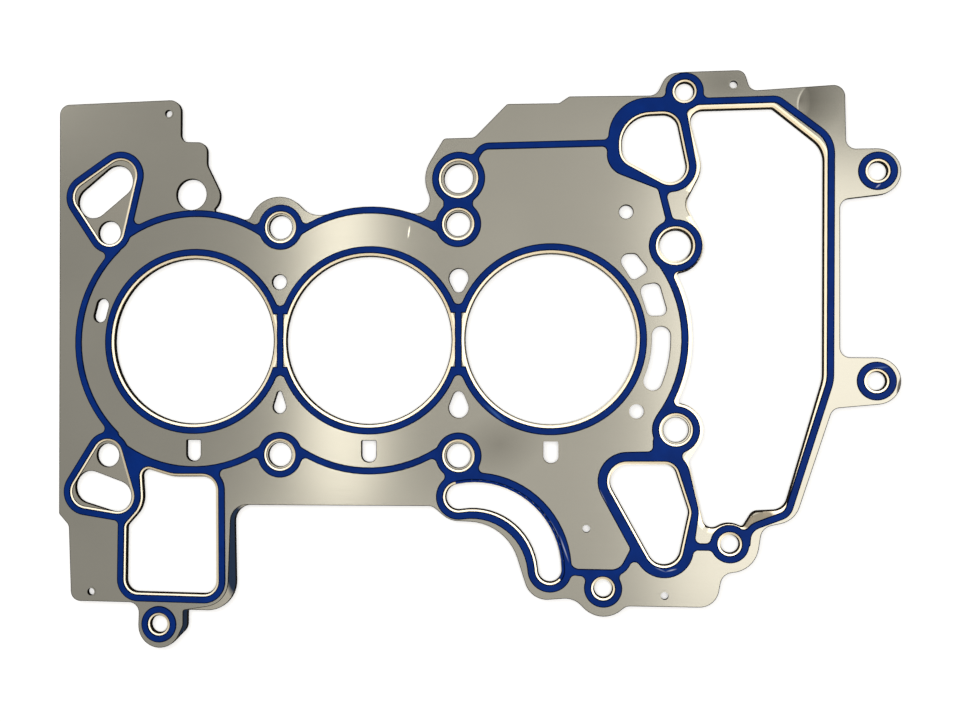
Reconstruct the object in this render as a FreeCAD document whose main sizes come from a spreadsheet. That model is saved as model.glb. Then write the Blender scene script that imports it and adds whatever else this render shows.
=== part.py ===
import FreeCAD, Part
import math
import os

import Sketcher

# Cylinder head gasket of a three-cylinder engine with a chain case at one end.
# Millimetres. The origin is the centre of the middle bore, on the plane the
# gasket rests on. +X runs along the cylinder row to the chain case, +Z is up.

SIZES = {
    "bore_pitch": 91.0,
    "bore_lip": 1.7,
    "bolt_row": 57.7,
    "carrier_thickness": 1.9,
    "sheet_thickness": 0.3,
    "bead_width": 3.6,
    "bead_height": 0.3,
    "groove_depth": 0.35,
    "lip_width": 1.1,
    "ledge_width": 0.3,
    "bolt_seal_radius": 8.0,
    "bolt_hole_radius": 6.0,
    "oil_seal_radius": 9.8,
    "oil_hole_radius": 7.3,
    "dowel_seal_radius": 9.35,
    "dowel_hole_radius": 7.6,
    "case_seal_radius": 5.7,
    "case_hole_radius": 4.3,
    "vent_radius": 8.0,
    "coolant_hole_radius": 3.6,
    "slot_width": 7.5,
    "slot_length": 11.0,
    "stopper_width": 1.1,
    "stopper_thickness": 0.12,
    "eyelet_bore_radius": 1.9,
    "eyelet_wall": 0.3,
    "eyelet_flange": 0.4,
    "flange_thickness": 0.12,
    "web_radius": 2.4,
}

doc = FreeCAD.newDocument("head_gasket")
sizes = doc.addObject("Spreadsheet::Sheet", "sizes")
for row, (alias, value) in enumerate(SIZES.items(), start=1):
    sizes.set("A%d" % row, alias)
    sizes.set("B%d" % row, str(value))
    sizes.setAlias("B%d" % row, alias)
doc.recompute()


def size(alias):
    """One driving dimension, read from the sheet."""
    return float(sizes.get(alias))


pitch = size("bore_pitch")
bead = size("bead_width")
lip = size("lip_width")
ledge = size("ledge_width")

# Columns and rows of the head bolts: the rest of the outline is drawn from them.
west = -1.5 * pitch
mid_west = -0.5 * pitch
mid_east = 0.5 * pitch
east = 1.5 * pitch
north = size("bolt_row")
south = -north
bores = [(-pitch, 0.0), (0.0, 0.0), (pitch, 0.0)]

# Height of each layer, from the resting plane up.
carrier_top = size("carrier_thickness")
sheet_top = carrier_top + size("sheet_thickness")
seat_gap = 0.05

# The long bead passes each bolt ring on its near side, on an arc about the bore.
bolt_seal = size("bolt_seal_radius")
reach = math.hypot(mid_east, north) - bolt_seal + 0.1

# Neighbouring bores share one width of bead between them.
bead_overlap = 0.1
bore_seal = (pitch - bead) / 2 + bead_overlap
bore_radius = bore_seal - size("bore_lip")
BORE_RADIUS = "(sizes.bore_pitch - sizes.bead_width) / 2 + %g - sizes.bore_lip" % bead_overlap


def vector(x, y, z=0.0):
    return FreeCAD.Vector(x, y, z)


# Outlines are drawn as a line pulled tight round pegs. A peg is (x, y, radius):
# the line turns left round a positive radius and right round a negative one.
# Growing every radius moves the whole line outwards by the same distance.

def touching(first, second, radius):
    """A peg of this radius that just touches the pegs before and after it."""
    (x0, y0, r0), (x1, y1, r1) = first, second
    slack = 0.01
    near = abs(radius - r0) + slack
    far = abs(radius - r1) + slack
    span = math.hypot(x1 - x0, y1 - y0)
    along = (near * near - far * far + span * span) / (2 * span)
    aside = math.copysign(math.sqrt(near * near - along * along), radius)
    ux, uy = (x1 - x0) / span, (y1 - y0) / span
    return (x0 + along * ux - aside * uy, y0 + along * uy + aside * ux, radius)


def settled(pegs, loose):
    """The pegs with the fillets among them pushed clear of the pegs either side.

    loose is the sign of the fillets' radii: -1 for inward corners."""
    pegs = [list(peg) for peg in pegs]
    count = len(pegs)
    for sweep in range(60):
        for i, peg in enumerate(pegs):
            for other in (pegs[i - 1], pegs[(i + 1) % count]):
                if peg[2] * loose < 0 or other[2] * loose > 0:
                    continue
                dx, dy = peg[0] - other[0], peg[1] - other[1]
                distance = math.hypot(dx, dy)
                overlap = abs(peg[2]) + abs(other[2]) + 0.02 - distance
                if overlap > 0:
                    peg[0] += dx / distance * overlap
                    peg[1] += dy / distance * overlap
    return [tuple(peg) for peg in pegs]


def straight_run(start, end, grow):
    """Heading and end points of the straight run between two pegs."""
    (x0, y0, r0), (x1, y1, r1) = start, end
    distance = math.hypot(x1 - x0, y1 - y0)
    heading = math.atan2(y1 - y0, x1 - x0) + math.asin((r0 - r1) / distance)
    side_x, side_y = math.sin(heading), -math.cos(heading)
    first = vector(x0 + (r0 + grow) * side_x, y0 + (r0 + grow) * side_y)
    last = vector(x1 + (r1 + grow) * side_x, y1 + (r1 + grow) * side_y)
    return heading, first, last


def turn(peg, grow, heading_in, heading_out):
    """The arcs round one peg from one heading to the next, or none."""
    x, y, radius = peg
    change = (heading_out - heading_in) % (2 * math.pi)
    if radius < 0:
        change -= 2 * math.pi
    if abs(change) < 0.001 or abs(change) > 2 * math.pi - 0.001:
        return []
    start = heading_in - math.pi / 2 + (0 if radius > 0 else math.pi)
    ends = sorted([start, start + change])
    circle = Part.Circle(vector(x, y), vector(0, 0, 1), abs(radius + grow))
    return [Part.ArcOfCircle(circle, ends[0], ends[1])]


def closed_line(pegs, grow=0.0):
    """Lines and arcs of a closed outline round the pegs."""
    count = len(pegs)
    runs = [straight_run(pegs[i], pegs[(i + 1) % count], grow) for i in range(count)]
    curves = []
    for i in range(count):
        curves += turn(pegs[i], grow, runs[i - 1][0], runs[i][0])
        if runs[i][1].distanceToPoint(runs[i][2]) > 0.001:
            curves.append(Part.LineSegment(runs[i][1], runs[i][2]))
    return curves


def flat_face(curves):
    """The flat face inside curves that join end to end."""
    return Part.Face(Part.Wire(Part.sortEdges([curve.toShape() for curve in curves])[0]))


def inside(pegs, grow=0.0):
    return flat_face(closed_line(pegs, grow))


def disc(x, y, radius):
    return flat_face([Part.Circle(vector(x, y), vector(0, 0, 1), radius)])


def band(pegs, width=bead):
    """A strip of one width along an open line of pegs."""
    sides = []
    for grow in (width / 2, -width / 2):
        runs = [straight_run(a, b, grow) for a, b in zip(pegs, pegs[1:])]
        curves = [Part.LineSegment(runs[0][1], runs[0][2])]
        for i in range(1, len(runs)):
            curves += turn(pegs[i], grow, runs[i - 1][0], runs[i][0])
            curves.append(Part.LineSegment(runs[i][1], runs[i][2]))
        sides.append((curves, runs[0][1], runs[-1][2]))
    (right, right_start, right_end), (left, left_start, left_end) = sides
    caps = [Part.LineSegment(right_start, left_start), Part.LineSegment(right_end, left_end)]
    return flat_face(right + left + caps)


def arc_band(x, y, radius, first, last):
    """A bead along an arc between two angles in degrees."""
    first, last = math.radians(first), math.radians(last)
    arcs = []
    for edge in (radius - bead / 2, radius + bead / 2):
        circle = Part.Circle(vector(x, y), vector(0, 0, 1), edge)
        arcs.append(Part.ArcOfCircle(circle, first, last))
    caps = [Part.LineSegment(arcs[0].StartPoint, arcs[1].StartPoint),
            Part.LineSegment(arcs[0].EndPoint, arcs[1].EndPoint)]
    return flat_face(arcs + caps)


def joined(faces):
    """Overlapping faces run together into one: the underside of their joined prisms."""
    prisms = [face.extrude(vector(0, 0, 1)) for face in faces]
    block = prisms[0].multiFuse(prisms[1:]).removeSplitter()
    return max((face for face in block.Faces if face.BoundBox.ZMax < 0.5), key=lambda f: f.Area)


# Holes that have a bead round them: x, y, inner radius of the bead, hole radius.
bolt_hole = size("bolt_hole_radius")
case_seal, case_hole = size("case_seal_radius"), size("case_hole_radius")
head_bolts = [(x, y, bolt_seal, bolt_hole) for x in (mid_west, mid_east) for y in (north, south)]
dowel_bolt = (east + 15.8, north - 12.5, size("dowel_seal_radius"), size("dowel_hole_radius"))
plain_bolt = (east + 15.5, south + 13.2, bolt_seal, bolt_hole)
oil_feed = (mid_east + 0.2, north + 22.9, size("oil_seal_radius"), size("oil_hole_radius"))
case_bolts = [
    (east + 20.6, north + 63.1, case_seal, case_hole),
    (east + 40.7, south - 41.7, case_seal, case_hole),
    (east - 20.0, south - 64.2, case_seal, case_hole),
]
lug_bolts = [
    (east + 111.5, north + 21.9, case_seal, case_hole),
    (east + 109.9, south + 36.7, case_seal, case_hole),
    (west + 27.9, south - 86.7, case_seal, case_hole),
]
joined_rings = head_bolts + [dowel_bolt, plain_bolt, oil_feed] + case_bolts
ringed_holes = joined_rings + lug_bolts

# Holes with no bead of their own: x, y, radius.
end_bolts = [(west, north - 1.2, bolt_hole), (west, south - 0.8, bolt_hole)]
coolant_hole = size("coolant_hole_radius")
plain_holes = [
    (-pitch - 1.5, north + 17.7, size("vent_radius")),
    (mid_west - 0.5, north - 27.9, coolant_hole + 0.2),
    (east - 8.0, north + 4.5, coolant_hole - 0.2),
    (east - 3.4, south + 22.1, coolant_hole),
]
eyelet_places = [
    (west + 31.5, north + 59.9),
    (east + 44.1, north + 65.7),
    (west - 8.6, south - 70.9),
    (east + 9.6, south - 67.2),
    (east - 28.0, south - 35.3),
]

# Coolant and oil passages cut through both sheets, as pegs.
half_slot = size("slot_width") / 2


def drain_slot(x):
    """A slot beside a bore, square at the bore and round away from it."""
    top = south + 7.3
    low = top - size("slot_length") + half_slot
    round_end = half_slot - 0.25
    return [(x - half_slot + 0.6, top - 0.6, 0.6), (x - 0.25, low, round_end),
            (x + 0.25, low, round_end), (x + half_slot - 0.6, top - 0.6, 0.6)]


def end_kidney():
    """A slot that follows the last bore round, at its chain case side."""
    middle, half = 54.2, 4.55
    high = (pitch + middle * math.cos(math.radians(1.4)), middle * math.sin(math.radians(1.4)))
    low = (pitch + middle * math.cos(math.radians(22.7)), -middle * math.sin(math.radians(22.7)))
    return [high + (half,), (pitch, 0.0, half - middle + 0.01), low + (half,),
            (pitch, 0.0, middle + half - 0.01)]


passages = [drain_slot(x + 0.3) for x, y in bores] + [
    end_kidney(),
    [(west - 3.3, north - 38.7, 3.3), (west - 4.8, north - 44.4, 3.3)],
    [(mid_east + 0.2, north - 27.1, 4.9), (mid_east + 0.2, north - 31.2, 3.0)],
    [(mid_west - 0.3, south + 24.2, 3.4), (mid_west - 0.3, south + 30.7, 1.4)],
    [(mid_east + 0.1, south + 23.7, 5.0), (mid_east + 0.1, south + 29.0, 3.0)],
    [(east - 6.8, north - 19.7, 3.7), (east - 4.2, north - 26.1, 2.6),
     (east - 0.6, north - 23.8, 2.6), (east - 4.7, north - 18.9, 2.9)],
    [(east + 2.5, north - 34.7, 3.6), (east + 4.5, north - 43.9, 2.8),
     (east + 8.2, north - 43.5, 3.1), (east + 5.3, north - 33.9, 3.3)],
]

# Long passages that share a bead with an end bolt: only the carrier closes round them.
oblongs = [
    [(west - 8.9, north + 14.8, 8.3), (west + 4.1, north + 25.3, 8.3)],
    [(west - 9.1, south - 17.3, 8.4), (west + 4.7, south - 21.8, 8.0)],
]

# Openings with a bead round them: pegs of the bead's inner edge.
end_loops = [
    [(west + 0.2, north - 0.5, 7.9), (west + 5.7, north + 28.2, 9.1),
     (west - 11.5, north + 17.6, 8.4)],
    [(west - 0.1, south - 0.3, 7.9), (west - 11.5, south - 19.6, 8.6),
     (west + 5.2, south - 21.6, 9.1)],
]
drain_window = settled([
    (-pitch + 5.0, south - 18.3, 8.3), (-pitch - 8.0, south + 9.9, -20.0),
    (-pitch - 23.5, south - 11.3, 4.7), (west + 5.2, south - 21.6, -12.8),
    (west + 13.2, south - 37.8, 4.0), (west + 16.7, south - 64.1, 7.7),
    (-pitch + 6.0, south - 64.3, 7.8),
], 1)
north_triangle = [(east - 2.0, north + 35.3, 9.1), (east + 13.5, north + 26.2, 8.9),
                  (east + 10.0, north + 44.6, 8.8), (east + 4.0, north + 38.1, 15.2)]
north_triangle_rim = [(east - 6.2, north + 33.0, 11.1), (east + 13.8, north + 26.1, 12.4),
                      (east + 10.0, north + 48.2, 12.4), (east + 2.5, north + 41.7, 19.0)]
south_triangle = [(east - 8.0, south - 12.1, 9.7), (east + 9.3, south - 44.3, 9.3),
                  (east + 15.0, south - 26.8, 7.5), (east + 10.0, south - 9.3, 7.0)]
south_triangle_rim = [(east - 8.0, south - 12.1, 14.5), (east + 9.3, south - 44.3, 14.4),
                      (east + 15.0, south - 26.8, 11.2), (east + 10.0, south - 9.3, 12.2)]


def kidney(near_end, far_end, inner, outer):
    """A banana shape: two round ends, joined by an arc inside and an arc outside."""
    near = (mid_east, south - 20.4, near_end)
    far = (pitch - 0.5, south - 55.8, far_end)
    return [near, touching(near, far, -inner), far, touching(far, near, outer)]


transfer = kidney(7.6, 7.1, 30.7, 44.0)
transfer_rim = kidney(11.3, 10.9, 27.4, 47.5)
windows = [drain_window, north_triangle, south_triangle, transfer]

# The chain case opening: the top sheet's own edge, as pegs.
case_arc = (pitch, 0.0, -reach - 3.0)
dowel_arc = dowel_bolt[:2] + (-dowel_bolt[2] - bead,)
plain_arc = plain_bolt[:2] + (-bolt_seal - bead - 0.9,)
chain_opening = settled([
    (east + 61.7, north + 51.7, 2.4), (east + 29.1, north + 47.9, 6.2),
    (east + 13.8, north + 26.3, -13.9), (east + 28.5, north + 7.8, 7.7),
    dowel_arc, touching(dowel_arc, case_arc, 1.7),
    case_arc, touching(case_arc, plain_arc, 1.7),
    plain_arc, (east + 24.4, south - 2.3, 3.4),
    (east + 33.4, south - 30.9, 5.1), (east + 40.5, south - 41.9, -9.7),
    (east + 46.1, south - 31.8, 2.1), (east + 54.3, south - 30.1, -4.0),
    (east + 61.0, south - 18.1, 7.6), (east + 64.7, -17.0, 20.9), (east + 73.4, north + 27.3, 13.4),
], 1)

# How far the carrier stands out past the top sheet at the drain window.
margin = 2.3


def outer_edge(extra):
    """Pegs of a sheet's outer edge, counter-clockwise from the north-west corner."""
    lug = case_seal + bead + 1.9
    shoulder = extra - margin
    oil_lobe = (mid_east + 0.3, north + 22.9, 16.9)
    bolt_lobe = (mid_west - 1.0, north, 15.6)
    vent_lobe = (-pitch + 5.0, north + 16.6, 8.7)
    middle_arc = (0.0, 0.0, reach + bead / 2)
    west_arc = (-pitch, 0.0, reach + bead / 2)
    return settled([
        (west - 22.2, north + 60.9, 5.2), (west - 24.6, south - 30.5, 1.5),
        (west - 24.7, south - 38.6, -4.0), (west - 14.4, south - 70.7, 5.0),
        (west + 11.9, south - 81.1, -5.3), (west + 28.1, south - 87.5, lug - 0.1),
        (west + 25.7 + lug + shoulder, south - 85.8, 6.0),
        (west + 32.9 + lug + shoulder, south - 80.3, -1.2),
        (-pitch + 8.0 + shoulder, south - 64.3, 14.8 + 0.75 * shoulder),
        (mid_west - 15.0 + shoulder, south - 33.9, -8.4),
        (mid_east - 15.0, south - 30.3, -5.3), (mid_east, south - 20.3, 12.0),
        (mid_east + 5.0, south - 57.9, -25.4), (pitch - 2.0, south - 59.3, 10.9),
        (pitch + 7.5, south - 79.7, -10.4), (east - 20.0, south - 64.4, 13.4),
        (east - 6.8, south - 78.3, -5.8), (east + 26.0, south - 62.8, 9.6),
        (east + 42.3, south - 61.3, -6.2), (east + 40.7, south - 41.7, 13.8),
        (east + 61.8, south - 39.1, -6.6), (east + 62.0, south - 19.8, 12.2),
        (east + 93.1, south + 18.9, -5.0), (east + 109.9, south + 36.7, lug),
        (east + 97.9, south + 52.8, -4.8), (east + 98.5, north + 4.1, -4.8),
        (east + 111.0, north + 21.5, lug), (east + 101.5, north + 37.5, -4.7),
        (east + 91.1, north + 58.4, 5.5), (east + 55.3, north + 66.9, -4.4),
        (east + 45.8, north + 68.3, 4.3), (east + 21.0, north + 62.8, 9.8),
        (east + 17.3, north + 64.5, 7.9), (east + 3.8, north + 66.7, -5.2),
        (east - 35.0, north + 60.3, 2.0), (east - 41.1, north + 61.1, -2.0),
        (mid_east + 25.5, north + 57.5, 2.0), (mid_east + 6.5, north + 47.1, -4.0),
        (mid_east - 5.9, north + 40.9, 2.2), oil_lobe,
        touching(oil_lobe, middle_arc, -7.0), middle_arc,
        touching(middle_arc, bolt_lobe, -13.0), bolt_lobe,
        touching(bolt_lobe, west_arc, -3.0), west_arc,
        touching(west_arc, vent_lobe, -1.0), vent_lobe,
        (-pitch + 12.7, north + 34.1, -6.0), (-pitch + 1.7, north + 39.6, 5.0),
        (-pitch - 3.2, north + 48.9, -4.1), (west + 32.2, north + 60.8, 6.0),
    ], -1)


def rounded(flat):
    """The face with every inward corner filled to the web radius."""
    web = size("web_radius")
    return flat.makeOffset2D(web).makeOffset2D(-web)


def bead_network():
    """The long bead that joins every sealed opening but the bores and lugs."""
    lower_bore_turn = math.degrees(math.atan2(north, mid_east))
    upper_bore_turn = 180 - lower_bore_turn
    solid = [disc(x, y, inner + bead) for x, y, inner, hole in joined_rings]
    solid += [inside(pegs, bead) for pegs in end_loops + [drain_window]]
    solid += [inside(north_triangle_rim), inside(south_triangle_rim), inside(transfer_rim)]
    solid += [
        arc_band(-pitch, 0, reach, lower_bore_turn, upper_bore_turn),
        arc_band(-pitch, 0, reach, -upper_bore_turn, -lower_bore_turn),
        arc_band(0, 0, reach, lower_bore_turn, upper_bore_turn),
        arc_band(0, 0, reach, -upper_bore_turn, -lower_bore_turn),
        arc_band(-pitch + 3.8, 0, reach, 133, 227),
        arc_band(pitch, 0, reach, -36, 36),
        band([(mid_east, north, 0), (mid_east, north + 22.9, 0)], 15.0),
        band([(east + 10.1, south + 8.0, 0), (east + 10.1, south - 2.0, 0)], 11.7),
        band([(mid_east + 7.0, north + 30.3, 0), (mid_east + 15.5, north + 32.7, -6.0),
              (east - 14.0, north + 38.7, 0)]),
        band([(east + 9.0, north + 16.3, 0), (east + 13.1, north - 0.7, 0)]),
        band([(east + 20.6, north + 57.9, 0), (east + 62.8, north + 51.9, -6.0),
              (east + 75.9, north + 31.1, -14.0), (east + 68.5, -17.5, -20.0),
              (east + 62.7, south - 22.0, -6.5), (east + 56.9, south - 39.8, 8.0),
              (east + 48.7, south - 42.0, 0)]),
        band([(pitch + 6.5, south - 52.5, 0), (pitch + 14.0, south - 50.6, 6.0),
              (east - 16.0, south - 48.3, 8.3), (east - 3.0, south - 41.3, 0)]),
        band([(east + 21.5, south - 43.3, 0), (east + 34.5, south - 43.3, 0)]),
    ]
    flat = rounded(joined(solid))
    open_faces = [disc(x, y, inner) for x, y, inner, hole in joined_rings]
    open_faces += [inside(pegs) for pegs in end_loops + windows]
    return flat.cut(open_faces)


def bore_network():
    """Three rings round the bores, which share one straight bar of bead where they meet."""
    flat = rounded(joined([disc(x, y, bore_seal + bead) for x, y in bores]))
    half_bar = math.sqrt((bore_seal + bead) ** 2 - (pitch / 2) ** 2)
    beside_bar = []
    for middle in (mid_west, mid_east):
        for side in (-1, 1):
            x = middle + side * 1.5 * bead
            beside_bar.append(band([(x, -half_bar, 0), (x, half_bar, 0)], 2 * bead))
    return flat.cut([disc(x, y, bore_seal) for x, y in bores] + beside_bar)


def lug_rings():
    """A ring of its own round each lug's bolt hole."""
    rings = [disc(x, y, inner + bead).cut(disc(x, y, inner)) for x, y, inner, hole in lug_bolts]
    return Part.makeCompound(rings)


def add_shape(label, shape, height):
    """A solid drawn at the resting plane and lifted to its height."""
    feature = doc.addObject("Part::Feature", label)
    solids = shape.Solids
    feature.Shape = solids[0] if len(solids) == 1 else Part.makeCompound(solids)
    feature.Placement = FreeCAD.Placement(vector(0, 0, height), FreeCAD.Rotation())
    return feature


def beads(name, flat):
    """The bead on the top sheet, and its twin in the groove under the carrier."""
    groove = size("groove_depth")
    top = add_shape(name + "_top", flat.extrude(vector(0, 0, size("bead_height"))), sheet_top)
    bottom = add_shape(name + "_bottom", flat.extrude(vector(0, 0, groove - seat_gap)), seat_gap)
    return top, bottom


def new_sketch(body, name, height=None):
    """A sketch on the body's ground plane, or lifted from it by a cell's value."""
    sketch = body.newObject("Sketcher::SketchObject", name)
    plane = next(item for item in body.Origin.OriginFeatures if item.Role == "XY_Plane")
    sketch.AttachmentSupport = (plane, [""])
    sketch.MapMode = "FlatFace"
    if height:
        sketch.setExpression("AttachmentOffset.Base.z", height)
    return sketch


def add_circle(sketch, x, y, radius, formula):
    """A circle whose radius is bound to the sheet."""
    index = sketch.addGeometry(Part.Circle(vector(x, y), vector(0, 0, 1), radius), False)
    constraint = sketch.addConstraint(Sketcher.Constraint("Radius", index, radius))
    sketch.setExpression("Constraints[%d]" % constraint, formula)


def pocket(body, sketch, depth=None, upwards=True):
    """A pocket from the sketch: right through, or to a cell's depth."""
    feature = body.newObject("PartDesign::Pocket", sketch.Name + "_cut")
    feature.Profile = sketch
    feature.Reversed = upwards
    if depth:
        feature.setExpression("Length", depth)
    else:
        feature.Type = 1
    return feature


def sheet_body(label, thickness, extra, ledge, bore_growth):
    """A steel sheet with its outer edge, bores, passages and windows.

    ledge is how far its sealed openings stand in past the top sheet's."""
    body = doc.addObject("PartDesign::Body", label)
    outline = new_sketch(body, label + "_outline")
    outline.addGeometry(closed_line(outer_edge(extra)), False)
    pad = body.newObject("PartDesign::Pad", label + "_pad")
    pad.Profile = outline
    pad.setExpression("Length", "sizes." + thickness)
    round_holes = new_sketch(body, label + "_bores")
    for x, y in bores:
        add_circle(round_holes, x, y, bore_radius + bore_growth,
                   BORE_RADIUS + " + %g" % bore_growth)
    stem = size("eyelet_bore_radius") + size("eyelet_wall")
    for x, y in eyelet_places:
        add_circle(round_holes, x, y, stem, "sizes.eyelet_bore_radius + sizes.eyelet_wall")
    pocket(body, round_holes)
    cuts = new_sketch(body, label + "_openings")
    for pegs in passages:
        cuts.addGeometry(closed_line(pegs), False)
    for pegs in windows:
        cuts.addGeometry(closed_line(pegs, -lip - ledge), False)
    cuts.addGeometry(closed_line(chain_opening, -2 * ledge), False)
    return body, cuts


def top_sheet():
    """The thin spring steel sheet on top, open inside every bead."""
    body, cuts = sheet_body("top_sheet", "sheet_thickness", 0.0, 0.0, 0.6)
    for x, y, inner, hole in ringed_holes:
        cuts.addGeometry(Part.Circle(vector(x, y), vector(0, 0, 1), inner - lip), False)
    for x, y, radius in plain_holes:
        cuts.addGeometry(Part.Circle(vector(x, y), vector(0, 0, 1), radius), False)
    for pegs in end_loops:
        cuts.addGeometry(closed_line(pegs, -lip), False)
    pocket(body, cuts)
    body.setExpression("Placement.Base.z", "sizes.carrier_thickness")
    return body


def carrier_blank():
    """The thick sheet underneath, closed round the bolts and passages."""
    body, cuts = sheet_body("carrier_blank", "carrier_thickness", margin, ledge, 0.0)
    for x, y, inner, hole in ringed_holes:
        cuts.addGeometry(Part.Circle(vector(x, y), vector(0, 0, 1), hole), False)
    for x, y, radius in plain_holes + end_bolts:
        cuts.addGeometry(Part.Circle(vector(x, y), vector(0, 0, 1), radius), False)
    for pegs in oblongs:
        cuts.addGeometry(closed_line(pegs), False)
    pocket(body, cuts)
    seats = new_sketch(body, "stopper_seats", "sizes.carrier_thickness")
    for x, y in bores:
        add_circle(seats, x, y, bore_radius + size("stopper_width") + seat_gap,
                   BORE_RADIUS + " + sizes.stopper_width + %g" % seat_gap)
    pocket(body, seats, "sizes.stopper_thickness", upwards=False)
    under = new_sketch(body, "eyelet_seats")
    for x, y in eyelet_places:
        add_circle(under, x, y, flange_radius() + seat_gap,
                   "sizes.eyelet_bore_radius + sizes.eyelet_wall + sizes.eyelet_flange + %g" % seat_gap)
    pocket(body, under, "sizes.flange_thickness + %g" % seat_gap)
    return body


def flange_radius():
    return size("eyelet_bore_radius") + size("eyelet_wall") + size("eyelet_flange")


def carrier(blank, flats):
    """The carrier, with grooves under it for the lower beads."""
    depth = vector(0, 0, size("groove_depth"))
    grooves = doc.addObject("Part::Feature", "grooves")
    grooves.Shape = Part.makeCompound([flat.extrude(depth) for flat in flats])
    cut = doc.addObject("Part::Cut", "carrier")
    cut.Base = blank
    cut.Tool = grooves
    return cut


def stoppers():
    """A hard ring at the edge of each bore, let into the carrier."""
    outer = bore_radius + size("stopper_width")
    flat = Part.makeCompound([disc(x, y, outer).cut(disc(x, y, bore_radius)) for x, y in bores])
    thickness = size("stopper_thickness")
    return add_shape("bore_stoppers", flat.extrude(vector(0, 0, thickness)), carrier_top - thickness)


def eyelets():
    """Hollow rivets that hold the two sheets together at the tabs."""
    flange = size("flange_thickness")
    bore = size("eyelet_bore_radius")
    stem = bore + size("eyelet_wall")
    length = sheet_top + flange - seat_gap
    blank = Part.makeCylinder(stem, length)
    blank = blank.fuse([Part.makeCylinder(flange_radius(), flange),
                        Part.makeCylinder(flange_radius(), flange, vector(0, 0, length - flange))])
    eyelet = blank.cut(Part.makeCylinder(bore, length)).removeSplitter()
    return add_shape("eyelets", Part.makeCompound(
        [eyelet.translated(vector(x, y)) for x, y in eyelet_places]), seat_gap)


flats = {"bore_bead": bore_network(), "passage_bead": bead_network(), "lug_bead": lug_rings()}
blank = carrier_blank()
nodes = [top_sheet(), carrier(blank, flats.values()), stoppers(), eyelets()]
for name, flat in flats.items():
    nodes += beads(name, flat)
doc.recompute()

for item in doc.Objects:
    if "Invalid" in item.State or "Error" in item.State:
        raise RuntimeError("%s failed: %s" % (item.Name, item.State))
os.makedirs("parts", exist_ok=True)
for node in nodes:
    if node.Shape.isNull() or not node.Shape.isValid():
        raise RuntimeError(node.Label + " has no valid shape")
    node.Shape.exportStep("parts/" + node.Label + ".step")
    print(node.Label, len(node.Shape.Solids), "solids, volume", round(node.Shape.Volume, 1))
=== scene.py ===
import math

import bmesh
import bpy
from mathutils import Matrix, Vector
from mathutils.bvhtree import BVHTree


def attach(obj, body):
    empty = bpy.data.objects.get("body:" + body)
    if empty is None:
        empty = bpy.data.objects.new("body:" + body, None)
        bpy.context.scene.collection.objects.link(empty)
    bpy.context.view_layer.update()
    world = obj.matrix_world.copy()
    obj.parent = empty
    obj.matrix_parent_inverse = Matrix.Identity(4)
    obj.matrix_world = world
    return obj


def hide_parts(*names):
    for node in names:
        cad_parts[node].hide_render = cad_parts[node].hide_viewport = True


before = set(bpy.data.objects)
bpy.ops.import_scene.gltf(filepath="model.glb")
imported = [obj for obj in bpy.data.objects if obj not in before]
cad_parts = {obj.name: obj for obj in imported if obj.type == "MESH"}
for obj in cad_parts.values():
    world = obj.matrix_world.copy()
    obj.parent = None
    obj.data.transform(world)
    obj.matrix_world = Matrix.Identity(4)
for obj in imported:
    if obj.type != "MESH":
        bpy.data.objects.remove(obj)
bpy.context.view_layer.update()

bl_info = {
    "name": "Cylinder head gasket",
    "version": (1, 0, 0),
    "blender": (4, 5, 0),
    "location": "3D View > Sidebar > Gasket",
    "description": "Dresses a layered steel head gasket and its blue elastomer beads",
    "category": "Object",
}


def linear(hex_colour):
    """Linear RGBA from an sRGB hex value such as 0x8C8A80."""
    channels = []
    for shift in (16, 8, 0):
        value = ((hex_colour >> shift) & 255) / 255
        low = value / 12.92
        high = ((value + 0.055) / 1.055) ** 2.4
        channels.append(low if value <= 0.04045 else high)
    return (*channels, 1.0)


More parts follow.
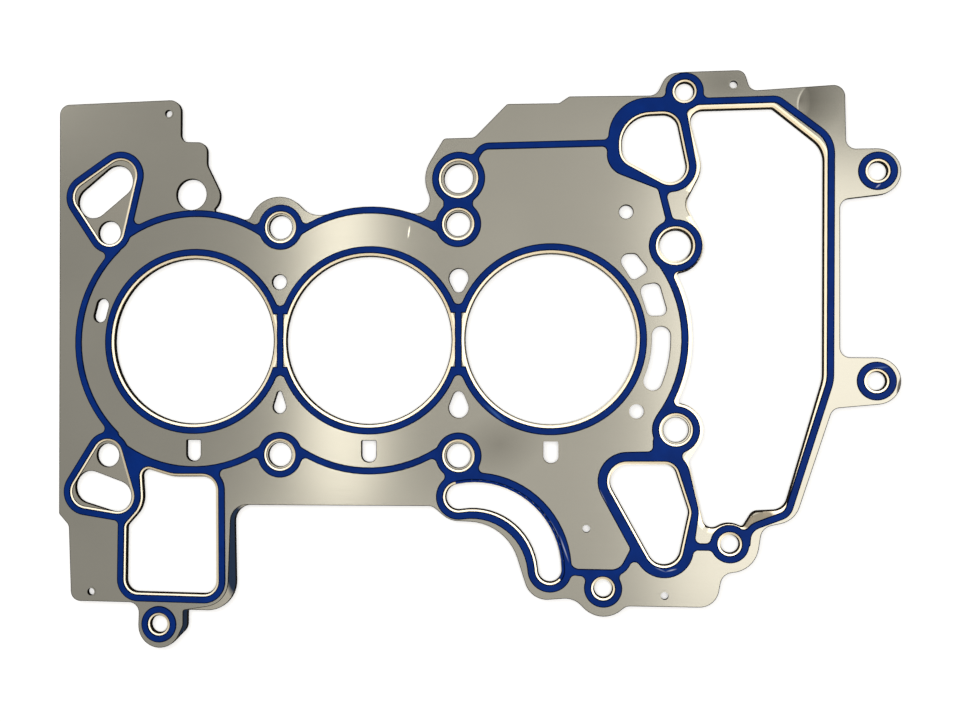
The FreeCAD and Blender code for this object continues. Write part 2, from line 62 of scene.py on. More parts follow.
class GasketSteel(bpy.types.PropertyGroup):
    sheet: bpy.props.FloatVectorProperty(
        name="Spring steel", description="Rolled face of the top sheet",
        subtype="COLOR", size=4, default=linear(0x848177))
    carrier: bpy.props.FloatVectorProperty(
        name="Carrier steel", description="Rolled face of the carrier",
        subtype="COLOR", size=4, default=linear(0x8A867B))
    lip: bpy.props.FloatVectorProperty(
        name="Bright lip", description="Bare rim of the sheet inside each seal bead",
        subtype="COLOR", size=4, default=linear(0xAC9F86))
    # Painted highlight: the lip's paler colour where it leans towards the assumed window.
    lip_painted_highlight: bpy.props.FloatVectorProperty(
        name="Lit lip", description="The same rim where it leans towards the window",
        subtype="COLOR", size=4, default=linear(0xE9DFC8))
    # Painted shade: this near-black colour stands in for shade on rims on the far side of each opening
    # from the point under the camera.
    ledge_painted_shade: bpy.props.FloatVectorProperty(
        name="Ledge", description="Sheared rim of the carrier inside each opening",
        subtype="COLOR", size=4, default=linear(0x1E1A15))
    # Partly painted shade: the walls' own duller steel, made near-black to stand in for their shade as
    # well.
    cut_edge_and_shade: bpy.props.FloatVectorProperty(
        name="Punched edge", description="Dark sheared wall of every opening",
        subtype="COLOR", size=4, default=linear(0x14120F))
    lip_width: bpy.props.FloatProperty(
        name="Lip width", description="From an opening's edge to its seal bead",
        subtype="DISTANCE", unit="LENGTH", min=0.0, default=0.0011)
    lip_drop: bpy.props.FloatProperty(
        name="Lip drop", description="How far the punch pulled the lip down at its edge",
        subtype="DISTANCE", unit="LENGTH", min=0.0, default=0.00012)
    # The rounded edge is real; its dark colour is painted shade on the far sides of openings and a pale
    # painted highlight on the near ones.
    rollover: bpy.props.FloatProperty(
        name="Rollover", description="Width of the dark rounded edge that the punch leaves",
        subtype="DISTANCE", unit="LENGTH", min=0.0, default=0.00028)
    ledge_rim: bpy.props.FloatProperty(
        name="Ledge rim", description="Width of the carrier's ledge beside its rounded edge",
        subtype="DISTANCE", unit="LENGTH", min=0.0, default=0.00035)
    # The stopper's edge ring takes the rollovers' painted shade on far sides and painted highlight on
    # near ones.
    stopper_rim: bpy.props.FloatProperty(
        name="Stopper rim", description="Width of the dark welded edge of each bore stopper",
        subtype="DISTANCE", unit="LENGTH", min=0.0, default=0.0005)
    roughness: bpy.props.FloatProperty(
        name="Roughness", description="How soft the steel's reflections are",
        min=0.05, max=1.0, default=0.17)


class GasketSeal(bpy.types.PropertyGroup):
    colour: bpy.props.FloatVectorProperty(
        name="Elastomer", description="Blue of the moulded beads",
        subtype="COLOR", size=4, default=linear(0x022A76))
    # Painted shade: this darker blue on the rounded shoulders and on a thin ring of each bead's flat
    # top.
    shoulder_shade: bpy.props.FloatVectorProperty(
        name="Shoulder", description="Darker blue where a bead rounds over to the steel",
        subtype="COLOR", size=4, default=linear(0x03123A))
    bevel: bpy.props.FloatProperty(
        name="Bead rounding", description="Size of the rounded shoulders",
        subtype="DISTANCE", unit="LENGTH", min=0.0, default=0.00022)
    # The ring of painted shade over each bead's flat top is this wide.
    outline: bpy.props.FloatProperty(
        name="Outline", description="How far the dark shoulder reaches in over the flat top",
        subtype="DISTANCE", unit="LENGTH", min=0.0, default=0.00032)
    roughness: bpy.props.FloatProperty(
        name="Roughness", description="Sheen of the moulded rubber",
        min=0.05, max=1.0, default=0.42)


class GasketStage(bpy.types.PropertyGroup):
    floor_colour: bpy.props.FloatVectorProperty(
        name="Floor", description="Colour of the floor", subtype="COLOR", size=4,
        default=linear(0xF2F2F2))
    camera_place: bpy.props.FloatVectorProperty(
        name="Camera", description="Where the camera stands", subtype="TRANSLATION",
        unit="LENGTH", size=3, default=(0.10814, -0.02214, 0.49562))


def add_node(tree, kind, settings=None, **links):
    """A shader node with its settings, and sockets fed by values or by other nodes' outputs."""
    node = tree.nodes.new(kind)
    for key, value in (settings or {}).items():
        setattr(node, key, value)
    for key, value in links.items():
        name = key.replace("_", " ")
        socket = node.inputs[int(key[1:])] if key[0] == "i" and key[1:].isdigit() else node.inputs[name]
        if isinstance(value, bpy.types.NodeSocket):
            tree.links.new(value, socket)
        else:
            socket.default_value = value
    return node


def new_material(name):
    """An empty node material and its node tree."""
    material = bpy.data.materials.new(name)
    material.use_nodes = True
    material.node_tree.nodes.clear()
    return material, material.node_tree


def finish_material(material, tree, shader):
    """Joins the shader to the material's output."""
    output = tree.nodes.new("ShaderNodeOutputMaterial")
    tree.links.new(shader.outputs[0], output.inputs["Surface"])
    return material


def spot(tree, place, x, y, half_x, half_y, turn=0.0, soft=0.4):
    """1 inside an ellipse on the sheet, fading to 0 at its rim; sizes in mm, turn in degrees."""
    moved = add_node(tree, "ShaderNodeVectorMath", {"operation": "SUBTRACT"}, i0=place,
                     i1=(x / 1000, y / 1000, 0.0))
    turned = add_node(tree, "ShaderNodeMapping", Vector=moved.outputs[0],
                      Rotation=(0.0, 0.0, -math.radians(turn)))
    scaled = add_node(tree, "ShaderNodeVectorMath", {"operation": "MULTIPLY"}, i0=turned.outputs[0],
                      i1=(1000 / half_x, 1000 / half_y, 0.0))
    far = add_node(tree, "ShaderNodeVectorMath", {"operation": "LENGTH"}, i0=scaled.outputs[0])
    return add_node(tree, "ShaderNodeMapRange", Value=far.outputs["Value"], From_Min=1.0 - soft,
                    From_Max=1.0, To_Min=1.0, To_Max=0.0).outputs[0]


def marked(tree, place, base, marks):
    """The base colour with each mark's colour laid over it by its strength.

    A mark with a second ellipse shows only inside it and fades towards its rim."""
    for colour, strength, *shape in marks:
        mask = spot(tree, place, *shape[:6])
        amount = add_node(tree, "ShaderNodeMath", {"operation": "MULTIPLY"}, i0=mask, i1=strength)
        if len(shape) > 6:
            fade = spot(tree, place, *shape[6:], soft=1.0)
            amount = add_node(tree, "ShaderNodeMath", {"operation": "MULTIPLY"},
                              i0=amount.outputs[0], i1=fade)
        base = add_node(tree, "ShaderNodeMix", {"data_type": "RGBA"}, Factor=amount.outputs[0],
                        i6=base, i7=linear(colour)).outputs[2]
    return base


# The side that an assumed brightest window stands on, seen from above; rims in the lip colour that lean
# towards it get a painted highlight.
HIGHLIGHT_SIDE = (0.45, 0.9, 0.0)
# Ledges and rollovers on the far side of an opening, seen from this point under the camera, get painted
# shade; those on the near side get a painted highlight.
POINT_UNDER_CAMERA = (0.108, -0.022, 0.0)
# Widths along x that tell the openings and the outline apart, in metres.
LARGE_OPENING = 0.07
BORE_WIDTHS = (0.08, 0.1)
OUTLINE_WIDTH = 0.3
# The share of a small opening's edge that needs a bead beside it to count as sealed.
SEALED_SHARE = 0.6
# How much farther from a large opening its bead may lie.
LARGE_REACH = 0.0005
# Inner rings shrink to this width beside a plain edge.
HAIRLINE = 0.00005
# Longer border edges are cut up, so that their kind can change on the way.
EDGE_PIECE = 0.003
# The last ring of a lip runs this far in under the bead.
UNDER_BEAD = 0.001
# How far a bead may lie from the edges of each sheet and of the stoppers.
SHEET_REACH = 0.0029
CARRIER_REACH = 0.002
STOPPER_REACH = 0.006
# Material numbers on a rimmed sheet.
# The third, on rollovers and ledges, carries painted shade and a painted highlight.
FACE, LIP, PAINTED_ROLLOVER, RUBBER = range(4)
# Corners, in metres, of the box round the kidney opening where elastomer has run over the lip.
RUN_OVER = ((0.044, -0.128), (0.1035, -0.066))
# Marks on the steel: colour, strength, x, y, half length and width, turn and softness.
SHEET_MARKS = [
    # A short pale scratch over the middle bore.
    (0xF4EEDC, 0.9, 20.6, 54.2, 0.45, 3.6, -8.0, 0.5),
    # A darker patch by the middle bore's east bolt, and another on the north tab.
    (0x5A574F, 0.5, 66.0, -52.0, 24.0, 17.0, 20.0, 1.0),
    (0x5A574F, 0.3, 176.0, 124.0, 16.0, 9.0, 0.0, 1.0),
    # A dark crescent along the edge of the lower east lug.
    (0x2A2620, 0.9, 256.6, -23.4, 0.9, 5.5, -12.0, 0.5),
    # A darker patch between the arm's foot and the lug beside it.
    (0x534E44, 1.0, 190.6, -87.6, 9.0, 3.6, 24.0, 0.25),
    # The bent corner: a painted highlight as a bright line, then painted shade as a dark face that
    # fades away from it.
    (0xF2ECDC, 0.9, 222.6, 112.6, 12.4, 12.4, 0.0, 0.12, 211.0, 114.0, 6.0, 10.0),
    (0x4B4840, 0.95, 223.4, 112.0, 12.6, 12.6, 0.0, 0.05, 211.0, 115.0, 22.0, 22.0),
]
# The same darker patch on the bright lip beside it.
LIP_MARKS = [(0x6E6658, 1.0, 190.6, -87.6, 9.0, 3.6, 24.0, 0.25)]
CARRIER_SHADE = [
    # Blue-black painted shade on the margin beside the drain window and on the lug under it.
    (0x1E2838, 1.0, -68.5, -106.0, 7.0, 26.0, 0.0, 0.2),
    (0x1E2838, 1.0, -94.5, -146.0, 5.0, 12.0, 0.0, 0.2),
    (0x1E2838, 0.9, -77.0, 72.0, 4.0, 10.0, 0.0, 0.2),
]
# Painted highlights: pale glints on the beads, in the same order.
BEAD_GLINTS = [
    (0xA8B8E0, 0.6, 92.9, -93.0, 0.55, 5.6, 29.0, 0.9),
    (0xC8D0E8, 0.7, 97.7, -102.8, 0.45, 7.5, 19.0, 0.9),
    (0xC8D0E8, 0.6, 117.9, -79.8, 0.3, 8.5, 25.0, 0.9),
    (0xA8B8E0, 0.5, 144.2, -112.3, 3.4, 0.4, -22.0, 0.9),
    (0xC8D0E8, 0.8, 149.4, -112.4, 3.0, 0.45, 15.0, 0.9),
    (0xC8D0E8, 0.7, 247.9, 72.3, 1.7, 0.5, 40.0, 0.8),
    (0x6E8CC0, 0.5, 248.0, -14.6, 4.5, 0.6, 5.0, 0.8),
    (0x4A74B8, 0.6, 64.2, -37.0, 9.0, 1.0, -41.0, 1.0),
]


def leaning(tree, place, normal, lean, far_side):
    """0 to 1 as a face leans, by the lower to the higher of two sines, towards the assumed window, for
    a painted highlight.

    With far_side it is away from this point under the camera instead, so that the rims on the far side
    of every opening stay at 0 and keep their painted shade."""
    aim = HIGHLIGHT_SIDE
    if far_side:
        out = add_node(tree, "ShaderNodeVectorMath", {"operation": "SUBTRACT"}, i0=place,
                       i1=POINT_UNDER_CAMERA)
        aim = add_node(tree, "ShaderNodeVectorMath", {"operation": "NORMALIZE"},
                       i0=out.outputs[0]).outputs[0]
    along = add_node(tree, "ShaderNodeVectorMath", {"operation": "DOT_PRODUCT"}, i0=normal, i1=aim)
    return add_node(tree, "ShaderNodeMapRange", Value=along.outputs["Value"], From_Min=lean[0],
                    From_Max=lean[1]).outputs[0]


def rolled_steel(name, colour, wall_colour_and_shade, roughness, marks=(), highlight_colour=None, lean=(0.0, 0.1),
                 far_side=False):
    """Cold rolled spring steel: a satin face with fine rolling lines and a few dull patches.

    Walls cut by the punch are rougher than the face and hardly shine, and their darker colour is partly
    their own and partly painted shade. A painted highlight colour, where given, shows on faces that
    lean the right way."""
    material, tree = new_material(name)
    place = add_node(tree, "ShaderNodeTexCoord").outputs["Object"]
    # Rolling lines run along the sheet: 0.4 mm apart and tens of millimetres long.
    stretched = add_node(tree, "ShaderNodeMapping", Vector=place, Scale=(30.0, 2400.0, 30.0))
    lines = add_node(tree, "ShaderNodeTexNoise", Vector=stretched.outputs[0], Scale=1.0, Detail=3.0)
    # Dull patches some 60 mm across, from oil and handling.
    patches = add_node(tree, "ShaderNodeTexNoise", Vector=place, Scale=16.0, Detail=2.0)
    grain = add_node(tree, "ShaderNodeTexNoise", Vector=place, Scale=900.0, Detail=2.0)
    normal = add_node(tree, "ShaderNodeNewGeometry").outputs["Normal"]
    up = add_node(tree, "ShaderNodeSeparateXYZ", Vector=normal).outputs["Z"]
    face = add_node(tree, "ShaderNodeMapRange", Value=up, From_Min=0.3, From_Max=0.8)
    tone = add_node(tree, "ShaderNodeMapRange", Value=patches.outputs[0], From_Min=0.3, From_Max=0.7,
                    To_Min=0.96, To_Max=1.03)
    base = add_node(tree, "ShaderNodeVectorMath", {"operation": "SCALE"}, Scale=tone.outputs[0])
    if highlight_colour is None:
        base.inputs[0].default_value = colour[:3]
    else:
        pale = add_node(tree, "ShaderNodeMix", {"data_type": "RGBA"},
                        Factor=leaning(tree, place, normal, lean, far_side), i6=colour, i7=highlight_colour)
        tree.links.new(pale.outputs[2], base.inputs[0])
    mixed = add_node(tree, "ShaderNodeMix", {"data_type": "RGBA"}, Factor=face.outputs[0],
                     i6=wall_colour_and_shade, i7=marked(tree, place, base.outputs[0], marks))
    rough = add_node(tree, "ShaderNodeMapRange", Value=lines.outputs[0], From_Min=0.3, From_Max=0.7,
                     To_Min=roughness - 0.01, To_Max=roughness + 0.01)
    rough_face = add_node(tree, "ShaderNodeMix", Factor=face.outputs[0], i2=0.6, i3=rough.outputs[0])
    bump = add_node(tree, "ShaderNodeBump", Strength=0.06, Distance=0.00002, Height=grain.outputs[0])
    shine = add_node(tree, "ShaderNodeMath", {"operation": "MULTIPLY"}, i0=face.outputs[0], i1=0.5)
    shader = add_node(tree, "ShaderNodeBsdfPrincipled", Base_Color=mixed.outputs[2],
                      Metallic=face.outputs[0], Roughness=rough_face.outputs[0],
                      Specular_IOR_Level=shine.outputs[0], Normal=bump.outputs[0])
    return finish_material(material, tree, shader)


def moulded_elastomer(name, colour, roughness, shine, marks=()):
    """Fluoroelastomer moulded on to the sheet: smooth, dark blue, nearly matt and faintly mottled."""
    material, tree = new_material(name)
    place = add_node(tree, "ShaderNodeTexCoord").outputs["Object"]
    mottle = add_node(tree, "ShaderNodeTexNoise", Vector=place, Scale=120.0, Detail=3.0)
    tone = add_node(tree, "ShaderNodeMapRange", Value=mottle.outputs[0], From_Min=0.3, From_Max=0.7,
                    To_Min=0.85, To_Max=1.15)
    toned = add_node(tree, "ShaderNodeVectorMath", {"operation": "SCALE"}, i0=colour[:3],
                     Scale=tone.outputs[0])
    skin = add_node(tree, "ShaderNodeTexNoise", Vector=place, Scale=1500.0, Detail=2.0)
    bump = add_node(tree, "ShaderNodeBump", Strength=0.1, Distance=0.00002, Height=skin.outputs[0])
    shader = add_node(tree, "ShaderNodeBsdfPrincipled", Metallic=0.0, Roughness=roughness, IOR=1.4,
                      Base_Color=marked(tree, place, toned.outputs[0], marks),
                      Specular_IOR_Level=shine, Normal=bump.outputs[0])
    return finish_material(material, tree, shader)


def seen_white(tree):
    """1 for rays from the camera and for mirror and glass reflections, 0 for plain light."""
    path = add_node(tree, "ShaderNodeLightPath")
    seen = path.outputs["Is Camera Ray"]
    for kind in ("Is Glossy Ray", "Is Transmission Ray"):
        seen = add_node(tree, "ShaderNodeMath", {"use_clamp": True}, i0=seen,
                        i1=path.outputs[kind]).outputs[0]
    return seen


def merged_copy(name):
    """A bmesh of a node with its loose triangles joined up."""
    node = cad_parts[name]
    builder = bmesh.new()
    builder.from_mesh(node.data)
    builder.transform(node.matrix_world)
    bmesh.ops.remove_doubles(builder, verts=builder.verts, dist=1e-6)
    return builder


def add_piece(builder, name, materials):
    """The finished bmesh as an object that takes the place of the node of that name."""
    mesh = bpy.data.meshes.new(name)
    builder.to_mesh(mesh)
    builder.free()
    for material in materials:
        mesh.materials.append(material)
    piece = bpy.data.objects.new("seen_" + name, mesh)
    bpy.context.scene.collection.objects.link(piece)
    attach(piece, "root")
    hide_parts(name)
    return piece


def bead_surface():
    """The upper beads as one tree of faces to measure distances to."""
    corners = []
    faces = []
    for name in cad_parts:
        if name.endswith("bead_top"):
            builder = merged_copy(name)
            first = len(corners)
            builder.verts.index_update()
            corners += [corner.co.copy() for corner in builder.verts]
            faces += [[first + corner.index for corner in face.verts] for face in builder.faces]
            builder.free()
    return BVHTree.FromPolygons(corners, faces)


def border_of(builder, faces):
    """Each corner on the border of the given faces, with the next one round; faces lie on the left."""
    inside = set(faces)
    after = {}
    for edge in builder.edges:
        sides = [side for side in edge.link_loops if side.face in inside]
        if len(sides) == 1:
            after[sides[0].vert] = sides[0].link_loop_next.vert
    return after


def stepped_in(builder, after, widths, drops):
    """A new ring of corners, each moved in from its border corner by its own width.

    The border corner sinks by its drop."""
    before = {follower: corner for corner, follower in after.items()}
    moved = {}
    for corner, follower in after.items():
        into = (corner.co - before[corner].co).to_2d().normalized()
        out = (follower.co - corner.co).to_2d().normalized()
        normals = Vector((-into.y, into.x)) + Vector((-out.y, out.x))
        reach = widths[corner] / max(1.0 + into.dot(out), 0.6)
        moved[corner] = builder.verts.new((corner.co.x + normals.x * reach,
                                           corner.co.y + normals.y * reach, corner.co.z))
    for corner in after:
        corner.co.z -= drops[corner]
    return moved


def loops_of(after):
    """The border as one list of corners for each closed loop."""
    left = set(after)
    while left:
        corner = left.pop()
        loop = [corner]
        while after[loop[-1]] is not corner:
            loop.append(after[loop[-1]])
            left.discard(loop[-1])
        yield loop


def edge_kinds(after, beads, near):
    """The kind of edge at each border corner: "plain" or, where a bead runs along it,
    "bore", "window" for the widest opening, or "sealed" for the others.

    A small opening is sealed as a whole or not at all, and the sheet's outline never is."""
    kinds = {}
    for loop in loops_of(after):
        wide = max(corner.co.x for corner in loop) - min(corner.co.x for corner in loop)
        reach = near + LARGE_REACH if wide > LARGE_OPENING else near
        close = {corner for corner in loop
                 if beads.find_nearest((corner.co + after[corner].co) / 2)[3] < reach}
        if wide < LARGE_OPENING:
            close = set(loop) if len(close) > SEALED_SHARE * len(loop) else set()
        elif wide > OUTLINE_WIDTH:
            close = set()
        near_kind = "sealed"
        if BORE_WIDTHS[0] < wide < BORE_WIDTHS[1]:
            near_kind = "bore"
        elif wide > LARGE_OPENING:
            near_kind = "window"
        kinds.update((corner, near_kind if corner in close else "plain") for corner in loop)
    return kinds


def by_kind(plain, sealed, window, bore):
    """A ring's material number beside each kind of edge."""
    return {"plain": plain, "sealed": sealed, "window": window, "bore": bore}


def ringed_top(builder, upper, kinds_of, steps):
    """Puts rings of other materials round every edge of the given flat faces.

    Each step, from the edge inwards, is a width, the drop of its outer edge below the face,
    and the material number of each kind of edge. A plain edge gets only the first ring."""
    after = border_of(builder, upper)
    bmesh.ops.delete(builder, geom=upper, context="FACES_ONLY")
    kinds = kinds_of(after)
    for count, (width, drop, numbers) in enumerate(steps):
        ends = {end for corner, kind in kinds.items() if kind != "plain"
                for end in (corner, after[corner])}
        widths = {corner: width if corner in ends or count == 0 else HAIRLINE for corner in after}
        drops = {corner: drop if corner in ends else 0.0 for corner in after}
        moved = stepped_in(builder, after, widths, drops)
        for corner, follower in after.items():
            face = builder.faces.new((corner, follower, moved[follower], moved[corner]))
            face.material_index = numbers[kinds[corner]]
        kinds = {moved[corner]: kind for corner, kind in kinds.items()}
        after = {moved[corner]: moved[follower] for corner, follower in after.items()}
    rim = [builder.edges.get((corner, follower)) for corner, follower in after.items()]
    bmesh.ops.triangle_fill(builder, use_beauty=True, normal=(0.0, 0.0, 1.0), edges=rim)
    bmesh.ops.recalc_face_normals(builder, faces=builder.faces)


def flat_top(builder):
    """The faces of the highest flat."""
    top = max(corner.co.z for corner in builder.verts)
    return [face for face in builder.faces
            if face.normal.z > 0.9 and abs(face.calc_center_median().z - top) < 1e-5]


def run_over(face):
    """True for a rim on the upper side of the kidney opening."""
    middle = face.calc_center_median()
    low, high = RUN_OVER
    inside = all(low[axis] < middle[axis] < high[axis] for axis in (0, 1))
    return inside and face.normal.x + face.normal.y < -0.02


def rimmed_sheet(name, beads, near, steps):
    """A copy of a steel sheet with rims round its edges, wider where a bead runs beside them."""
    builder = merged_copy(name)
    upper = flat_top(builder)
    inside = set(upper)
    for edge in list(builder.edges):
        cuts = int(edge.calc_length() / EDGE_PIECE)
        if cuts and sum(face in inside for face in edge.link_faces) == 1:
            bmesh.ops.bisect_edges(builder, edges=[edge], cuts=cuts)
    ringed_top(builder, upper, lambda after: edge_kinds(after, beads, near), steps)
    if name == "top_sheet":
        for face in builder.faces:
            if face.material_index in (LIP, PAINTED_ROLLOVER) and run_over(face):
                face.material_index = RUBBER
    return builder


def dress(names, material):
    """Puts a material on CAD nodes that the scene leaves as they are."""
    for name in names:
        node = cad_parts[name]
        node.data.materials.clear()
        node.data.materials.append(material)


class GASKET_OT_steel(bpy.types.Operator):
    """Give the steel layers their rims and their steel."""
    bl_idname = "gasket.steel"
    bl_label = "Steel layers"

    def execute(self, context):
        look = context.scene.gasket_steel
        beads = bead_surface()
        # The top sheet: satin grey with broad soft reflections.
        sheet = rolled_steel("rolled_spring_steel", look.sheet, look.cut_edge_and_shade, look.roughness,
                             SHEET_MARKS)
        # The bare rim inside each bead: warm, with a painted highlight where it leans to the assumed
        # window.
        lip = rolled_steel("bare_lip_steel_painted_highlight", look.lip, look.cut_edge_and_shade, 0.4, LIP_MARKS,
                           highlight_colour=look.lip_painted_highlight, lean=(-0.1, 0.1))
        # The carrier: the same rolled steel, a little duller, with blue-black painted shade in places.
        carrier = rolled_steel("rolled_carrier_steel", look.carrier, look.cut_edge_and_shade,
                               look.roughness + 0.04, CARRIER_SHADE)
        # The edge that the punch rounded: painted shade, nearly black, on far sides and a pale painted
        # highlight on near ones.
        painted_rollover_steel = rolled_steel("rollover_painted_shade_and_highlight", look.ledge_painted_shade, look.cut_edge_and_shade, 0.55,
                               highlight_colour=look.lip_painted_highlight, lean=(0.02, 0.2), far_side=True)
        # A film of the beads' own blue over the kidney's upper lip, with the beads' painted glints.
        rubber = moulded_elastomer("elastomer_run_over_the_lip", context.scene.gasket_seal.colour,
                                   context.scene.gasket_seal.roughness, 0.07, BEAD_GLINTS)
        inner_width = look.lip_width - look.rollover
        lip_slope = look.lip_drop / look.lip_width
        add_piece(rimmed_sheet("top_sheet", beads, SHEET_REACH, [
            (look.rollover, look.lip_drop, by_kind(PAINTED_ROLLOVER, PAINTED_ROLLOVER, LIP, LIP)),
            (inner_width, lip_slope * inner_width, by_kind(FACE, LIP, LIP, LIP)),
            (UNDER_BEAD, 0.0, by_kind(FACE, LIP, LIP, LIP))]),
            "top_sheet", [sheet, lip, painted_rollover_steel, rubber])
        ledge_slope = look.lip_drop / (look.rollover + look.ledge_rim)
        add_piece(rimmed_sheet("carrier", beads, CARRIER_REACH, [
            (look.rollover, look.lip_drop, by_kind(PAINTED_ROLLOVER, PAINTED_ROLLOVER, PAINTED_ROLLOVER, PAINTED_ROLLOVER)),
            (look.ledge_rim, ledge_slope * look.ledge_rim, by_kind(FACE, PAINTED_ROLLOVER, PAINTED_ROLLOVER, LIP)),
            (look.lip_width, 0.0, by_kind(FACE, LIP, LIP, LIP))]),
            "carrier", [carrier, lip, painted_rollover_steel])
        # A stopper has only two materials, and its whole rim takes the second, with the rollovers'
        # painted shade and highlight.
        add_piece(rimmed_sheet("bore_stoppers", beads, STOPPER_REACH, [
            (look.stopper_rim, 0.0, by_kind(1, 1, 1, 1))]),
            "bore_stoppers", [lip, painted_rollover_steel])
        dress(["eyelets"], rolled_steel("drawn_eyelet_steel", look.sheet, look.cut_edge_and_shade,
                                        look.roughness))
        return {"FINISHED"}


class GASKET_OT_seals(bpy.types.Operator):
    """Give the beads their moulded blue elastomer."""
    bl_idname = "gasket.seals"
    bl_label = "Elastomer beads"

    def execute(self, context):
        look = context.scene.gasket_seal
        # The beads' blue carries painted glints.
        rubber = moulded_elastomer("moulded_blue_elastomer", look.colour, look.roughness, 0.07,
                                   BEAD_GLINTS)
        # The shoulders hardly shine, and their darker blue is painted shade, so each bead has a thin
        # dark outline from above.
        shoulder_shade = moulded_elastomer("moulded_elastomer_painted_shade", look.shoulder_shade, 0.6, 0.0)
        for name in list(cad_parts):
            if name.endswith("bead_bottom"):
                dress([name], rubber)
            elif name.endswith("bead_top"):
                add_piece(rounded_bead(name, look.bevel, look.outline), name, [rubber, shoulder_shade])
        return {"FINISHED"}


def rounded_bead(name, size, outline):
    """A copy of a bead with rounded upper shoulders; their painted shade reaches in over its flat top
    by the outline.
    """
    builder = merged_copy(name)
    top = max(corner.co.z for corner in builder.verts)
    crest = [edge for edge in builder.edges
             if all(abs(corner.co.z - top) < 1e-6 for corner in edge.verts)
             and edge.calc_face_angle(0.0) > 1.0]
    bmesh.ops.bevel(builder, geom=crest, offset=size, segments=3, profile=0.5, affect="EDGES",
                    material=-1, clamp_overlap=True)
    for face in builder.faces:
        face.material_index = 1
        face.smooth = 0.05 < face.normal.z < 0.99
    ringed_top(builder, flat_top(builder), lambda after: dict.fromkeys(after, "plain"),
               [(outline, 0.0, {"plain": 1})])
    return builder


# Each lamp: name, place, the point that it shines at, size, watts and colour.
LAMPS = [
    ("key", (-1.2, 1.1, 1.3), (0.03, 0, 0), (0.9, 0.9), 10.0, (1.0, 0.99, 0.97)),
    ("right_panel", (0.75, -0.05, 1.5), (0.75, -0.05, 0), (1.0, 0.95), 9.2, (1.0, 0.98, 0.94)),
    ("east_bore_panel", (0.08, 0.0, 1.5), (0.08, 0.0, 0), (0.5, 1.2), 0.95, (1.0, 0.98, 0.95)),
    ("strip_foot", (-0.385, -0.42, 1.5), (-0.385, -0.42, 0), (0.42, 0.3), 0.45, (1.0, 0.98, 0.94)),
    ("strip", (-0.385, -0.05, 1.5), (-0.385, -0.05, 0), (0.12, 1.6), 3.2, (1.0, 0.98, 0.92)),
]
# How brightly the floor and the room light the part from all round.
ROOM_LIGHT = 0.35
# The lens in mm and the camera's own axes, from the photo's perspective.
LENS = 37.42
CAMERA_RIGHT = (0.99464, -0.00149, -0.10344)
CAMERA_UP = (0.00387, 0.99973, 0.02277)


def softbox(name, place, target, size, watts, colour):
    """A rectangular area lamp that faces its target."""
    light = bpy.data.lights.new(name, "AREA")
    light.shape = "RECTANGLE"
    light.size, light.size_y = size
    light.energy = watts
    light.color = colour
    lamp = bpy.data.objects.new(name, light)
    bpy.context.scene.collection.objects.link(lamp)
    lamp.location = place
    direction = Vector(target) - Vector(place)
    lamp.rotation_euler = direction.to_track_quat("-Z", "Y").to_euler()
    return lamp


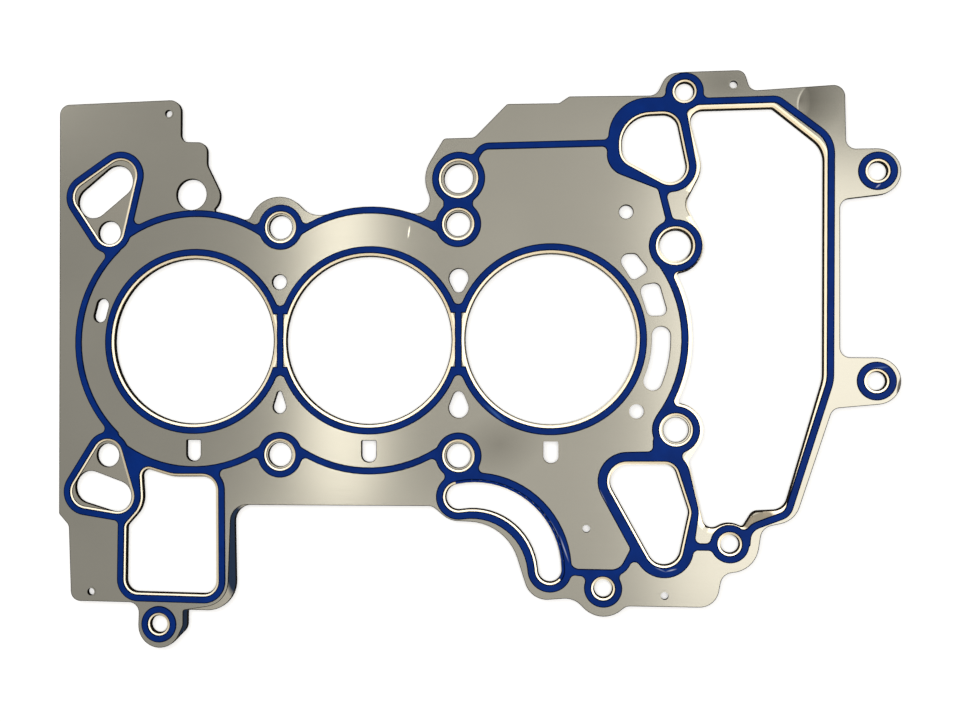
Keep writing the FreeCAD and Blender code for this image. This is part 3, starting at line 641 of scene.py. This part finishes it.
class GASKET_OT_stage(bpy.types.Operator):
    """Lay the floor, hang the soft lights and set up the camera."""
    bl_idname = "gasket.stage"
    bl_label = "Stage"

    def execute(self, context):
        look = context.scene.gasket_stage
        scene = context.scene
        mesh = bpy.data.meshes.new("floor")
        builder = bmesh.new()
        bmesh.ops.create_grid(builder, x_segments=1, y_segments=1, size=3.0)
        builder.to_mesh(mesh)
        builder.free()
        floor = bpy.data.objects.new("floor", mesh)
        scene.collection.objects.link(floor)
        material, tree = new_material("matt_white_paper")
        seen = seen_white(tree)
        paper = add_node(tree, "ShaderNodeBsdfDiffuse", Color=look.floor_colour)
        glow = add_node(tree, "ShaderNodeEmission", Color=(1.0, 1.0, 1.0, 1.0), Strength=ROOM_LIGHT)
        both = add_node(tree, "ShaderNodeAddShader", i0=paper.outputs[0], i1=glow.outputs[0])
        mix = add_node(tree, "ShaderNodeMixShader", Fac=seen, i1=paper.outputs[0], i2=both.outputs[0])
        finish_material(material, tree, mix)
        mesh.materials.append(material)

        for lamp in LAMPS:
            softbox(*lamp)

        world = bpy.data.worlds.new("studio")
        scene.world = world
        world.use_nodes = True
        tree = world.node_tree
        tree.nodes.clear()
        seen = seen_white(tree)
        white = add_node(tree, "ShaderNodeBackground", Color=(1.0, 1.0, 1.0, 1.0), Strength=1.0)
        room = add_node(tree, "ShaderNodeBackground", Color=(1.0, 0.985, 0.96, 1.0),
                        Strength=ROOM_LIGHT)
        mix = add_node(tree, "ShaderNodeMixShader", Fac=seen, i1=room.outputs[0], i2=white.outputs[0])
        output = tree.nodes.new("ShaderNodeOutputWorld")
        tree.links.new(mix.outputs[0], output.inputs["Surface"])

        camera_data = bpy.data.cameras.new("camera")
        camera_data.lens = LENS
        camera_data.sensor_width = 36.0
        camera = bpy.data.objects.new("camera", camera_data)
        scene.collection.objects.link(camera)
        right = Vector(CAMERA_RIGHT)
        up = Vector(CAMERA_UP)
        back = right.cross(up).normalized()
        up = back.cross(right).normalized()
        turn = Matrix((right.normalized(), up, back)).transposed().to_4x4()
        camera.matrix_world = Matrix.Translation(Vector(look.camera_place)) @ turn
        scene.camera = camera
        scene.view_settings.view_transform = "Standard"
        return {"FINISHED"}


class GASKET_PT_panel(bpy.types.Panel):
    """The gasket's pieces and their looks."""
    bl_label = "Head gasket"
    bl_idname = "GASKET_PT_panel"
    bl_space_type = "VIEW_3D"
    bl_region_type = "UI"
    bl_category = "Gasket"

    def draw(self, context):
        scene = context.scene
        for look, names in ((scene.gasket_steel, ("sheet", "carrier", "cut_edge_and_shade", "roughness")),
                            (scene.gasket_seal, ("colour", "roughness")),
                            (scene.gasket_stage, ("floor_colour", "camera_place"))):
            for name in names:
                self.layout.prop(look, name)
        for operator in (GASKET_OT_steel, GASKET_OT_seals, GASKET_OT_stage):
            self.layout.operator(operator.bl_idname)


CLASSES = (GasketSteel, GasketSeal, GasketStage, GASKET_OT_steel, GASKET_OT_seals,
           GASKET_OT_stage, GASKET_PT_panel)


def register():
    for cls in CLASSES:
        bpy.utils.register_class(cls)
    bpy.types.Scene.gasket_steel = bpy.props.PointerProperty(type=GasketSteel)
    bpy.types.Scene.gasket_seal = bpy.props.PointerProperty(type=GasketSeal)
    bpy.types.Scene.gasket_stage = bpy.props.PointerProperty(type=GasketStage)


def unregister():
    del bpy.types.Scene.gasket_steel
    del bpy.types.Scene.gasket_seal
    del bpy.types.Scene.gasket_stage
    for cls in reversed(CLASSES):
        bpy.utils.unregister_class(cls)


def main():
    register()
    bpy.ops.gasket.stage()
    bpy.ops.gasket.steel()
    bpy.ops.gasket.seals()


if __name__ == "__main__":
    main()
